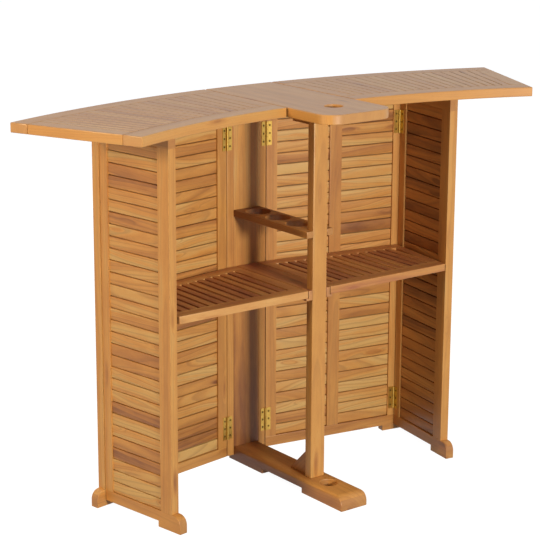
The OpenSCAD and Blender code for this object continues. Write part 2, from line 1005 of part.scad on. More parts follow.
module shelf_slats_left() {
    left() shelf_slats_right();
}

module rear_stiles_left() {
    left() rear_stiles_right();
}

module rear_rails_left() {
    left() rear_rails_right();
}

module rear_slats_left() {
    left() rear_slats_right();
}

module rear_foot_left() {
    left() rear_foot_right();
}

module rear_cleat_left() {
    left() rear_cleat_right();
}

module rear_hinge_moving_left() {
    left() rear_hinge_moving_right();
}

module side_hinge_fixed_left() {
    left() side_hinge_fixed_right();
}

module side_hinge_pins_left() {
    left() side_hinge_pins_right();
}

module side_stiles_left() {
    left() side_stiles_right();
}

module side_rails_left() {
    left() side_rails_right();
}

module side_slats_left() {
    left() side_slats_right();
}

module side_foot_left() {
    left() side_foot_right();
}

module side_cleat_left() {
    left() side_cleat_right();
}

module side_hinge_moving_left() {
    left() side_hinge_moving_right();
}

foot_beam();
front_post();
post_gusset();
back_board();
hinge_stile_left();
hinge_stile_right();
bottle_rack();
shelf_plank();
top_centre_board();
top_bearer();
rear_hinge_fixed();
top_hinge_fixed();
hinge_pins();
top_outer_rail_left();
top_inner_rail_left();
top_end_rails_left();
top_slats_left();
top_hinge_moving_left();
shelf_rails_left();
shelf_slats_left();
rear_stiles_left();
rear_rails_left();
rear_slats_left();
rear_foot_left();
rear_cleat_left();
rear_hinge_moving_left();
side_hinge_fixed_left();
side_hinge_pins_left();
side_stiles_left();
side_rails_left();
side_slats_left();
side_foot_left();
side_cleat_left();
side_hinge_moving_left();
top_outer_rail_right();
top_inner_rail_right();
top_end_rails_right();
top_slats_right();
top_hinge_moving_right();
shelf_rails_right();
shelf_slats_right();
rear_stiles_right();
rear_rails_right();
rear_slats_right();
rear_foot_right();
rear_cleat_right();
rear_hinge_moving_right();
side_hinge_fixed_right();
side_hinge_pins_right();
side_stiles_right();
side_rails_right();
side_slats_right();
side_foot_right();
side_cleat_right();
side_hinge_moving_right();
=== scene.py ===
"""Looks of a folding bar table in oiled teak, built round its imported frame.

The frame gives each piece of wood its place and outline. This script cuts the same boards again
with eased edges and a figure of their own, runs the rows of slats and screws through Geometry
Nodes, and finishes the brass, the ground, the light and the camera. Lengths in the classes are in
millimetres and angles in degrees, and meshes are in metres.
"""

import json
import logging
import math
import random
import zlib
from dataclasses import dataclass, field
from enum import Enum

import bmesh
import bpy
import numpy as np
from bmesh.types import BMEdge, BMesh
from bpy.types import Material, Mesh, Node, NodeSocket, NodeTree
from mathutils import Euler, Matrix, Vector

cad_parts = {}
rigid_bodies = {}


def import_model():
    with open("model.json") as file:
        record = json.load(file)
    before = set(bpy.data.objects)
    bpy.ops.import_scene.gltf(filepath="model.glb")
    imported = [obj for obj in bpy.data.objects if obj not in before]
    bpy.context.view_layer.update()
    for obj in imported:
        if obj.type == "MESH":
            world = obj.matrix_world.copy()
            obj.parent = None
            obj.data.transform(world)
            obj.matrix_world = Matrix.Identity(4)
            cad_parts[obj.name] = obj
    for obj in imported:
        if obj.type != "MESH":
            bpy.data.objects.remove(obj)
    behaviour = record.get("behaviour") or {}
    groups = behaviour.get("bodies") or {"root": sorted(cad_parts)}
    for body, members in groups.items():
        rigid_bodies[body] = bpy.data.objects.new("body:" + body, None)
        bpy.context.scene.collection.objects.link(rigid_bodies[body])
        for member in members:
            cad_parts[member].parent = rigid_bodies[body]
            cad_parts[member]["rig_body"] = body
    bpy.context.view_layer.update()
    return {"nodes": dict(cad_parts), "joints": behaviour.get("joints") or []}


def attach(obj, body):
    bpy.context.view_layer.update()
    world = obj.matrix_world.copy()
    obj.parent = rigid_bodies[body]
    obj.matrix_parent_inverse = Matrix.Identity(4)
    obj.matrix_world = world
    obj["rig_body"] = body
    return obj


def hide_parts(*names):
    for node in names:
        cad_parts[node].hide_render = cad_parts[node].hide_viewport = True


MM = 0.001
LOG_LENGTH = 40.0  # metres of log that each board's own place is drawn from
ALONG_Y = Vector((0.0, 1.0, 0.0))
log = logging.getLogger("bar_table")

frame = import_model()


class Side(Enum):
    """Half of the table, with the sign of its x."""

    LEFT = -1
    RIGHT = 1

    def of(self, stem: str) -> str:
        """Name of this side's node or body."""
        return f"{stem}_{self.name.lower()}"

    def mirror(self) -> Matrix:
        """Matrix that takes the right-hand half to this side."""
        return Matrix.Diagonal((self.value, 1.0, 1.0, 1.0))


class Figure(Enum):
    """How a board was sawn: distances in millimetres from the heart of the log, low and high."""

    FLAT = (12.0, 45.0)
    RIFT = (45.0, 120.0)


def linear(colour: str) -> tuple[float, float, float, float]:
    """Turns an sRGB hex colour to linear.

    Args:
        colour: Six hex digits after a hash.

    Returns:
        Red, green, blue and an alpha of 1.
    """
    parts = [int(colour[i:i + 2], 16) / 255 for i in (1, 3, 5)]
    red, green, blue = [c / 12.92 if c <= 0.04045 else ((c + 0.055) / 1.055) ** 2.4 for c in parts]
    return red, green, blue, 1.0


def add_object(name: str, data: bpy.types.ID) -> bpy.types.Object:
    """Puts a new object with this data in the scene."""
    made = bpy.data.objects.new(name, data)
    bpy.context.scene.collection.objects.link(made)
    return made


def add_node(tree: NodeTree, kind: str, inputs: dict | None = None, **settings: object) -> Node:
    """Adds a node with its settings, values and links.

    Args:
        tree: Tree that the node goes into.
        kind: Type name of the node.
        inputs: What each input gets, by name or number: a value, a socket, a node for its first
            output, or a list of these where an input takes more than one.
        settings: Properties of the node.

    Returns:
        The new node.
    """
    node = tree.nodes.new(kind)
    for name, value in settings.items():
        setattr(node, name, value)
    for key, value in (inputs or {}).items():
        for source in value if isinstance(value, list) else [value]:
            if isinstance(source, Node):
                source = source.outputs[0]
            if isinstance(source, NodeSocket):
                tree.links.new(source, node.inputs[key])
            else:
                node.inputs[key].default_value = source
    return node


def empty_tree(holder: Material | bpy.types.World) -> NodeTree:
    """Switches a material or a world to nodes and returns its tree without any."""
    holder.use_nodes = True
    holder.node_tree.nodes.clear()
    return holder.node_tree


def is_any_ray(tree: NodeTree, *kinds: str) -> NodeSocket | Node:
    """Tells some kinds of ray from all others.

    Args:
        tree: Tree of a material or a world.
        kinds: Outputs of the Light Path node.

    Returns:
        Socket or node that gives 1 for a ray of one of these kinds and 0 for any other.
    """
    rays = add_node(tree, "ShaderNodeLightPath")
    seen = rays.outputs[kinds[0]]
    for kind in kinds[1:]:
        seen = add_node(tree, "ShaderNodeMath", {0: seen, 1: rays.outputs[kind]}, operation="MAXIMUM")
    return seen


@dataclass(frozen=True)
class OiledTeak:
    """Planed and oiled teak.

    Straw, honey, gold and red-brown run in bands along the growth rings, which bend round the odd
    knot. A thin dark line ends each ring, and open pores show as short dark flecks, drawn twice as
    wide as they are so that they show. Oil leaves a soft gloss. Faces that look into narrow gaps are
    painted darker, as painted shade in the gaps.

    A share says how far a pattern moves the tone, and a strength how much of a tint is mixed in.
    The scales of the sway and of the knots count them in each metre, along and across the grain.
    """

    name: str
    straw: str = "#d2a55f"
    honey: str = "#cd9046"
    gold: str = "#b57737"
    heart: str = "#7f4b22"
    ring_line: str = "#7d4c28"
    end_grain: str = "#a06c3c"
    # Colour of the painted shade on faces that look into narrow gaps
    soil: str = "#4d2f1a"
    ring_mm: float = 7.0
    ring_wander: float = 2.4
    band_mm: float = 34.0
    band_edges: tuple[float, float] = (0.36, 0.64)
    streak_mm: float = 34.0
    fibre_mm: float = 2.2
    pore_mm: float = 0.6
    pore_edges: tuple[float, float] = (0.58, 0.7)
    sway_mm: float = 15.0
    sway_scale: tuple[float, float, float] = (2.4, 7.0, 7.0)
    knot_scale: tuple[float, float, float] = (4.2, 21.0, 21.0)
    knot_radius: float = 0.24
    knot_bend_mm: float = 18.0
    band_share: float = 0.36
    ring_share: float = 0.2
    streak_share: float = 0.6
    fibre_share: float = 0.12
    knot_share: float = 0.4
    line_strength: float = 0.12
    pore_strength: float = 0.3
    end_strength: float = 0.45
    # Strength of the painted shade in narrow gaps
    gap_shade_strength: float = 0.75
    contrast: float = 1.0
    roughness: float = 0.46
    ior: float = 1.5

    def build(self) -> Material:
        """Makes the material, which reads the grain, tone, end and painted gap shade marks of a piece.

        Returns:
            The material.
        """
        material = bpy.data.materials.new(self.name)
        tree = empty_tree(material)
        grain, tone, end, soil = [
            add_node(tree, "ShaderNodeAttribute", attribute_name=mark).outputs[output]
            for mark, output in (("grain", "Vector"), ("tone", "Fac"), ("end", "Fac"), ("soil", "Fac"))]
        knot = self._knot(tree, grain)
        radius = self._ring_radius(tree, grain, knot)
        bands = add_node(tree, "ShaderNodeMapRange", {
            "Value": self._uneven(tree, radius, self.band_mm),
            "From Min": self.band_edges[0], "From Max": self.band_edges[1],
        }, interpolation_type="SMOOTHSTEP")
        rings = self._uneven(tree, radius, self.ring_mm)
        streaks = self._streaks(tree, grain, self.streak_mm, slimness=4.0)
        fibres = self._streaks(tree, grain, self.fibre_mm, slimness=24.0)
        pores = add_node(tree, "ShaderNodeMapRange", {
            "Value": self._streaks(tree, grain, self.pore_mm, slimness=20.0),
            "From Min": self.pore_edges[0], "From Max": self.pore_edges[1],
        })

        level = tone
        for part, share in ((bands, self.band_share), (rings, self.ring_share),
                            (streaks, self.streak_share), (fibres, self.fibre_share)):
            weight = share * self.contrast
            offset = add_node(tree, "ShaderNodeMath", {0: part, 1: weight, 2: -weight / 2},
                              operation="MULTIPLY_ADD")
            level = add_node(tree, "ShaderNodeMath", {0: level, 1: offset}, operation="ADD")
        level = add_node(tree, "ShaderNodeMath", {0: knot, 1: self.knot_share, 2: level},
                         operation="MULTIPLY_ADD", use_clamp=True)
        ramp = add_node(tree, "ShaderNodeValToRGB", {"Fac": level})
        ramp.color_ramp.elements[0].color = linear(self.straw)
        ramp.color_ramp.elements[1].color = linear(self.heart)
        for position, colour in ((0.33, self.honey), (0.66, self.gold)):
            ramp.color_ramp.elements.new(position).color = linear(colour)

        colour = ramp
        # Ring lines and pores are grain, and the end tint is end grain; the last tint is painted shade on
        # faces that look into narrow gaps
        for part, strength, tint in ((self._ring_line(tree, radius), self.line_strength, self.ring_line),
                                     (pores, self.pore_strength, self.ring_line),
                                     (end, self.end_strength, self.end_grain),
                                     (soil, self.gap_shade_strength, self.soil)):
            share = add_node(tree, "ShaderNodeMath", {0: part, 1: strength}, operation="MULTIPLY")
            colour = add_node(tree, "ShaderNodeMix", {0: share, 6: colour, 7: linear(tint)},
                              data_type="RGBA").outputs[2]
        height = add_node(tree, "ShaderNodeMath", {0: fibres, 1: pores}, operation="SUBTRACT")
        bump = add_node(tree, "ShaderNodeBump", {"Strength": 0.2, "Distance": 0.15 * MM, "Height": height})
        rough = add_node(tree, "ShaderNodeMapRange", {"Value": fibres, "To Min": self.roughness - 0.07,
                                                      "To Max": self.roughness + 0.1})
        surface = add_node(tree, "ShaderNodeBsdfPrincipled", {"Base Color": colour, "Roughness": rough,
                                                              "Normal": bump, "IOR": self.ior})
        add_node(tree, "ShaderNodeOutputMaterial", {"Surface": surface})
        return material

    def _knot(self, tree: NodeTree, grain: NodeSocket) -> Node:
        """Scatters knots.

        Args:
            tree: Tree of the material.
            grain: Place in the log.

        Returns:
            Node that gives 1 in the middle of a knot and 0 away from it.
        """
        cells = add_node(tree, "ShaderNodeVectorMath", {0: grain, 1: self.knot_scale},
                         operation="MULTIPLY")
        spots = add_node(tree, "ShaderNodeTexVoronoi", {"Vector": cells, "Scale": 1.0})
        return add_node(tree, "ShaderNodeMapRange", {
            "Value": spots.outputs["Distance"], "From Min": self.knot_radius, "From Max": 0.0,
        }, interpolation_type="SMOOTHSTEP")

    def _ring_radius(self, tree: NodeTree, grain: NodeSocket, knot: Node) -> Node:
        """Measures the distance from the heart of the log, which sways along the board.

        Args:
            tree: Tree of the material.
            grain: Place in the log.
            knot: Knots, which bend the rings.

        Returns:
            Node that gives the distance in millimetres.
        """
        slow = add_node(tree, "ShaderNodeVectorMath", {0: grain, 1: self.sway_scale},
                        operation="MULTIPLY")
        sway = add_node(tree, "ShaderNodeTexNoise", {"Vector": slow, "Scale": 1.0, "Detail": 2.0})
        across = add_node(tree, "ShaderNodeVectorMath", {0: grain, 1: (0.0, 1 / MM, 1 / MM)},
                          operation="MULTIPLY")
        length = add_node(tree, "ShaderNodeVectorMath", {0: across}, operation="LENGTH")
        moved = add_node(tree, "ShaderNodeMath", {0: sway, 1: 2 * self.sway_mm, 2: length.outputs["Value"]},
                         operation="MULTIPLY_ADD")
        return add_node(tree, "ShaderNodeMath", {0: knot, 1: self.knot_bend_mm, 2: moved},
                        operation="MULTIPLY_ADD")

    def _uneven(self, tree: NodeTree, value: Node, size_mm: float) -> Node:
        """Uneven bands about size_mm apart."""
        scaled = add_node(tree, "ShaderNodeMath", {0: value, 1: size_mm}, operation="DIVIDE")
        return add_node(tree, "ShaderNodeTexNoise", {"W": scaled, "Scale": 1.0, "Detail": 2.0},
                        noise_dimensions="1D")

    def _ring_line(self, tree: NodeTree, radius: Node) -> Node:
        """Draws the dark line that ends each year's ring.

        Args:
            tree: Tree of the material.
            radius: Distance from the heart of the log in millimetres.

        Returns:
            Node that gives 1 on the line and 0 between.
        """
        uneven = self._uneven(tree, radius, 3 * self.ring_mm)
        turns = add_node(tree, "ShaderNodeMath", {0: radius, 1: self.ring_mm}, operation="DIVIDE")
        shifted = add_node(tree, "ShaderNodeMath", {0: uneven, 1: self.ring_wander, 2: turns},
                           operation="MULTIPLY_ADD")
        part = add_node(tree, "ShaderNodeMath", {0: shifted}, operation="FRACT")
        ramp = add_node(tree, "ShaderNodeValToRGB", {"Fac": part})
        ramp.color_ramp.elements[0].position = 0.45
        ramp.color_ramp.elements[0].color = (0.0, 0.0, 0.0, 1.0)
        ramp.color_ramp.elements[1].position = 0.9
        ramp.color_ramp.elements[1].color = (1.0, 1.0, 1.0, 1.0)
        ramp.color_ramp.elements.new(1.0).color = (0.1, 0.1, 0.1, 1.0)
        return ramp

    def _streaks(self, tree: NodeTree, grain: NodeSocket, width_mm: float, slimness: float) -> Node:
        """Streaks along the grain.

        Args:
            tree: Tree of the material.
            grain: Place in the log.
            width_mm: Width of a streak.
            slimness: How many times as long as wide it is.

        Returns:
            Node that gives about 0.5, more in some streaks and less in others.
        """
        across = 1 / (width_mm * MM)
        scales = (across / slimness, across, across)
        stretched = add_node(tree, "ShaderNodeVectorMath", {0: grain, 1: scales}, operation="MULTIPLY")
        return add_node(tree, "ShaderNodeTexNoise", {"Vector": stretched, "Scale": 1.0, "Detail": 3.0,
                                                     "Roughness": 0.6})


@dataclass(frozen=True)
class DrawnBrass:
    """Brass drawn and rolled: warm yellow metal with a satin face, dulled here and there."""

    name: str
    bright: str = "#d9b25c"
    dull: str = "#a37f3a"
    roughness: float = 0.36
    cloud_mm: float = 9.0

    def build(self) -> Material:
        """Makes the material, clouded over distances of cloud_mm.

        Returns:
            The material.
        """
        material = bpy.data.materials.new(self.name)
        tree = empty_tree(material)
        place = add_node(tree, "ShaderNodeTexCoord").outputs["Object"]
        clouds = add_node(tree, "ShaderNodeTexNoise", {"Vector": place, "Scale": 1 / (self.cloud_mm * MM),
                                                       "Detail": 3.0})
        colour = add_node(tree, "ShaderNodeMix", {0: clouds, 6: linear(self.bright), 7: linear(self.dull)},
                          data_type="RGBA")
        rough = add_node(tree, "ShaderNodeMapRange", {"Value": clouds, "To Min": self.roughness - 0.1,
                                                      "To Max": self.roughness + 0.14})
        bump = add_node(tree, "ShaderNodeBump", {"Strength": 0.08, "Distance": 0.1 * MM, "Height": clouds})
        surface = add_node(tree, "ShaderNodeBsdfPrincipled", {
            "Base Color": colour.outputs[2], "Metallic": 1.0, "Roughness": rough, "Normal": bump,
        })
        add_node(tree, "ShaderNodeOutputMaterial", {"Surface": surface})
        return material


class Finish(Enum):
    """A material slot of the record, and the look that its pieces get."""

    # Planed boards: quiet, even honey with wide rings and a soft gloss
    FRAME = ("teak_frame", OiledTeak("oiled_teak_planed_frame", ring_mm=9.0, line_strength=0.2))
    # Thin slats from many boards: lively, from pale straw to red-brown, with arches and dark lines
    SLATS = ("teak_slats", OiledTeak("oiled_teak_thin_slats", ring_mm=9.0, band_mm=24.0, sway_mm=22.0,
                                     line_strength=0.32, contrast=1.1))
    # Top sanded flat: fine, even figure, smooth enough to take on the pale of the surroundings
    TOP = ("teak_top", OiledTeak("oiled_teak_sanded_top", end_grain="#b98856", ring_mm=5.0, contrast=0.55,
                                 roughness=0.38))
    # Heartwood of the shelves: dark red-brown boards with pale sawn ends
    SHELF = ("teak_shelf", OiledTeak("oiled_teak_dark_shelf", straw="#dca862", honey="#c68746",
                                     gold="#a9663c", heart="#7b442f", ring_line="#5a3322",
                                     end_grain="#cf9656"))
    # Hinges: warm yellow with soft, uneven gleams
    BRASS = ("brass", DrawnBrass("drawn_brass_satin"))
    # Screws: browner and duller than the leaves, so that their heads stand out
    SCREWS = ("brass", DrawnBrass("turned_brass_screws_dulled", bright="#8f7136", dull="#55421f",
                                  roughness=0.5))

    @property
    def slot(self) -> str:
        """Name of the slot."""
        return self.value[0]

    @property
    def material(self) -> Material:
        """Material of the look, made when it is first asked for."""
        look = self.value[1]
        return bpy.data.materials.get(look.name) or look.build()


@dataclass
class BoardMarks:
    """Marks that give each board of a piece its own cut from the log.

    Attributes:
        name: Word that seeds the draws, so that every run gives the same boards.
        tones: Lowest and highest tone, from 0 for straw to 1 for red-brown.
        figure: How the boards were sawn.
        drift: Rise of the tone from the low end of a board to its high end.
        lean: Largest angle between the grain and a board's own length.
        soil: How far painted shade darkens the sides, where they face narrow gaps.
    """

    name: str
    tones: tuple[float, float] = (0.2, 0.7)
    figure: Figure = Figure.FLAT
    drift: float = 0.0
    lean: float = 2.0
    # Strength of the painted shade on the sides that face narrow gaps
    soil: float = 0.0

    def draw(self, index: int) -> tuple[float, Matrix]:
        """Draws what makes one board differ from the others.

        Args:
            index: Number of the board in its piece.

        Returns:
            Its tone, and its place in the log in metres.
        """
        dice = random.Random(zlib.crc32(f"{self.name} {index}".encode()))
        low, high = self.figure.value
        away = dice.uniform(low, high) * MM
        turn = dice.uniform(0.0, 2 * math.pi)
        along = dice.uniform(0.0, LOG_LENGTH)
        tone = dice.uniform(*self.tones)
        leans = [math.radians(dice.uniform(-self.lean, self.lean)) for _ in range(2)]
        place = Matrix.Translation((along, away * math.cos(turn), away * math.sin(turn)))
        return tone, place @ Euler((0.0, leans[0], leans[1])).to_matrix().to_4x4()


@dataclass
class Joinery:
    """Cuts the boards of a frame node again, with eased edges and marks for their figure.

    Attributes:
        ease: Width of the eased edges.
        outline_only: Whether only the edges at a board's own ends and sides are eased.
        steps: Faces across an eased edge.
        sharp: Least angle of an edge that is eased.
        weld: Distance within which corners are one.
        flat: Largest angle between facets that are one face.
        near: Distance within which an edge lies on a board's own box.
        smooth: Largest angle that is shaded round.
        squareness: How far a face must look along the grain to be end grain, and across it to be
            a side.
    """

    ease: float = 1.6
    outline_only: bool = False
    steps: int = 2
    sharp: float = 30.0
    weld: float = 0.01
    flat: float = 0.05
    near: float = 0.05
    smooth: float = 20.0
    squareness: tuple[float, float] = (0.8, 0.5)

    def recut(self, node: str, marks: BoardMarks, along: Vector | None = None) -> Mesh:
        """Makes one mesh of all the boards of a node.

        Args:
            node: Name of the frame's node.
            marks: Marks that the boards get.
            along: Direction of the grain, where it isn't each board's longest side.

        Returns:
            The mesh, in the frame's own place.
        """
        stock = bmesh.new()
        stock.from_mesh(frame["nodes"][node].data)
        bmesh.ops.remove_doubles(stock, verts=stock.verts, dist=self.weld * MM)
        bmesh.ops.dissolve_limit(stock, angle_limit=math.radians(self.flat), verts=stock.verts,
                                 edges=stock.edges)
        boards = sorted(self._islands(stock), key=lambda b: tuple(round(v, 4) for v in self._middle(b)))
        rows: list[tuple[float, ...]] = []
        faces: list[list[int]] = []
        grains: list[Vector] = []
        tones: list[float] = []
        ends: list[float] = []
        gap_shades: list[float] = []
        for index, board in enumerate(boards):
            axes = self._axes(board, along)
            cut = self._ease_edges(stock, board, axes)
            middle = self._middle([v.co for v in cut.verts])
            tone, place = marks.draw(index)
            spots = [axes @ (v.co - middle) for v in cut.verts]
            reach = max(abs(spot.x) for spot in spots)
            start = len(rows)
            for vert, spot in zip(cut.verts, spots):
                rows.append(tuple(vert.co))
                grains.append(place @ spot)
                tones.append(tone + marks.drift * spot.x / (2 * reach))
            for face in cut.faces:
                faces.append([start + v.index for v in face.verts])
                is_end, is_side = [abs(face.normal.dot(axes[i])) > self.squareness[i] for i in range(2)]
                ends.append(float(is_end))
                # Sides that face narrow gaps are marked for painted shade
                gap_shades.append(marks.soil if is_side else 0.0)
            cut.free()
        stock.free()
        mesh = bpy.data.meshes.new(node)
        mesh.from_pydata(rows, [], faces)
        mesh.attributes.new("grain", "FLOAT_VECTOR", "POINT").data.foreach_set(
            "vector", [part for grain in grains for part in grain])
        for mark, domain, values in (("tone", "POINT", tones), ("end", "FACE", ends),
                                     ("soil", "FACE", gap_shades)):
            mesh.attributes.new(mark, "FLOAT", domain).data.foreach_set("value", values)
        mesh.shade_smooth()
        mesh.set_sharp_from_angle(angle=math.radians(self.smooth))
        return mesh

    def _islands(self, stock: BMesh) -> list[list[Vector]]:
        """Splits the stock into boards.

        Args:
            stock: All the boards of a node.

        Returns:
            Places of each board's corners.
        """
        stock.verts.ensure_lookup_table()
        seen: set[int] = set()
        boards = []
        for seed in stock.verts:
            if seed.index in seen:
                continue
            seen.add(seed.index)
            queue = [seed]
            board = []
            while queue:
                vert = queue.pop()
                board.append(vert.co.copy())
                for edge in vert.link_edges:
                    other = edge.other_vert(vert)
                    if other.index not in seen:
                        seen.add(other.index)
                        queue.append(other)
            boards.append(board)
        return boards

    def _middle(self, places: list[Vector]) -> Vector:
        """Middle of the box round some places."""
        low, high = [Vector([pick(p[i] for p in places) for i in range(3)]) for pick in (min, max)]
        return (low + high) / 2

    def _axes(self, places: list[Vector], along: Vector | None) -> Matrix:
        """Finds how a board lies.

        Args:
            places: Places of its corners.
            along: Direction of its grain, where it isn't the longest side.

        Returns:
            Rows along the grain, across the face and through the thickness.
        """
        table = np.array([tuple(p) for p in places])
        _, vectors = np.linalg.eigh(np.cov((table - table.mean(axis=0)).T))
        rows = [Vector(vectors[:, i]) for i in (2, 1, 0)]
        rows = [r if max(r, key=abs) > 0 else -r for r in rows]
        if along is not None:
            thin = rows[2] if abs(rows[2].dot(along)) < 0.5 else rows[1]
            rows = [along.normalized(), thin.cross(along).normalized(), thin]
        return Matrix(rows)

    def _ease_edges(self, stock: BMesh, board: list[Vector], axes: Matrix) -> BMesh:
        """Copies one board out of the stock and eases its edges.

        Args:
            stock: All the boards of a node.
            board: Places of this board's corners.
            axes: How it lies.

        Returns:
            The board.
        """
        keys = {tuple(p) for p in board}
        cut = stock.copy()
        rest = [v for v in cut.verts if tuple(v.co) not in keys]
        bmesh.ops.delete(cut, geom=rest, context="VERTS")
        turned = [axes @ v.co for v in cut.verts]
        box = [[pick(p[i] for p in turned) for i in range(3)] for pick in (min, max)]
        edges = [e for e in cut.edges if self._is_eased(e, axes, box)]
        if edges:
            bmesh.ops.bevel(cut, geom=edges, offset=self.ease * MM, offset_type="OFFSET",
                            segments=self.steps, profile=0.5, affect="EDGES", clamp_overlap=False)
        cut.verts.index_update()
        cut.normal_update()
        return cut

    def _is_eased(self, edge: BMEdge, axes: Matrix, box: list[list[float]]) -> bool:
        """Tells whether an edge is eased.

        Args:
            edge: Edge of a board.
            axes: How the board lies.
            box: Lowest and highest corner of the board along its axes.

        Returns:
            Whether it is.
        """
        if not edge.is_manifold or not edge.is_convex:
            return False
        if edge.calc_face_angle() < math.radians(self.sharp):
            return False
        spots = [axes @ v.co for v in edge.verts]
        held = [i for i in range(3) for corner in box
                if all(abs(p[i] - corner[i]) < self.near * MM for p in spots)]
        return not self.outline_only or len(held) >= 2


def put(mesh: Mesh, name: str, body: str, finish: Finish, stands_for: list[str] | None = None) -> None:
    """Puts a finished mesh in the scene as a piece.

    Args:
        mesh: Mesh in the frame's place.
        name: Name of the piece.
        body: Body that it rides on.
        finish: Its slot and look.
        stands_for: Nodes of the frame that it replaces.
    """
    mesh.name = name
    mesh.materials.clear()
    mesh.materials.append(finish.material)
    piece = add_object(name, mesh)
    if stands_for:
        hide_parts(*stands_for)
    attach(piece, body)
    log.info("%s: %d faces on %s", name, len(mesh.polygons), body)


def cut_wood(node: str, marks: BoardMarks, joinery: Joinery, finish: Finish = Finish.FRAME,
             along: Vector | None = None) -> None:
    """Cuts one wooden node of the frame again and puts it on that node's body.

    Args:
        node: Name of the frame's node.
        marks: Marks that its boards get.
        joinery: How its boards are cut.
        finish: Its slot and look.
        along: Direction of the grain, where it isn't each board's longest side.
    """
    put(joinery.recut(node, marks, along), f"{node}_wood", frame["nodes"][node]["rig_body"], finish, [node])


@dataclass
class GeometryTree:
    """A Geometry Nodes tree with named inputs, run once and turned to a plain mesh."""

    name: str
    tree: NodeTree = field(init=False)
    ids: dict[str, str] = field(init=False, default_factory=dict)

    def __post_init__(self) -> None:
        """Makes the empty tree."""
        self.tree = bpy.data.node_groups.new(self.name, "GeometryNodeTree")
        self.tree.interface.new_socket("Geometry", in_out="OUTPUT", socket_type="NodeSocketGeometry")

    def takes(self, **kinds: str) -> dict[str, NodeSocket]:
        """Adds the named inputs.

        Args:
            kinds: Kind of socket of each, by name.

        Returns:
            Their sockets inside the tree.
        """
        for name, kind in kinds.items():
            made = self.tree.interface.new_socket(name, in_out="INPUT", socket_type=f"NodeSocket{kind}")
            self.ids[name] = made.identifier
        start = add_node(self.tree, "NodeGroupInput")
        return {name: start.outputs[name] for name in kinds}

    def row(self, shape: Node, count: NodeSocket, step: NodeSocket) -> Node:
        """Copies of a shape in a row, one step apart."""
        points = add_node(self.tree, "GeometryNodeMeshLine", {"Count": count, "Offset": step})
        return add_node(self.tree, "GeometryNodeInstanceOnPoints", {"Points": points, "Instance": shape})

    def gives(self, geometry: Node, material: Material) -> None:
        """Ends the tree: instances made real, then the finish set."""
        real = add_node(self.tree, "GeometryNodeRealizeInstances", {"Geometry": geometry})
        dressed = add_node(self.tree, "GeometryNodeSetMaterial", {"Geometry": real, "Material": material})
        add_node(self.tree, "NodeGroupOutput", {0: dressed})

    def run(self, **values: object) -> Mesh:
        """Runs the tree.

        Args:
            values: Value of each input, by name.

        Returns:
            The result as a plain mesh.
        """
        holder = add_object(self.name, bpy.data.meshes.new(self.name))
        modifier = holder.modifiers.new(self.name, "NODES")
        modifier.node_group = self.tree
        for name, value in values.items():
            modifier[self.ids[name]] = value
        graph = bpy.context.evaluated_depsgraph_get()
        mesh = bpy.data.meshes.new_from_object(holder.evaluated_get(graph))
        bpy.data.objects.remove(holder)
        return mesh


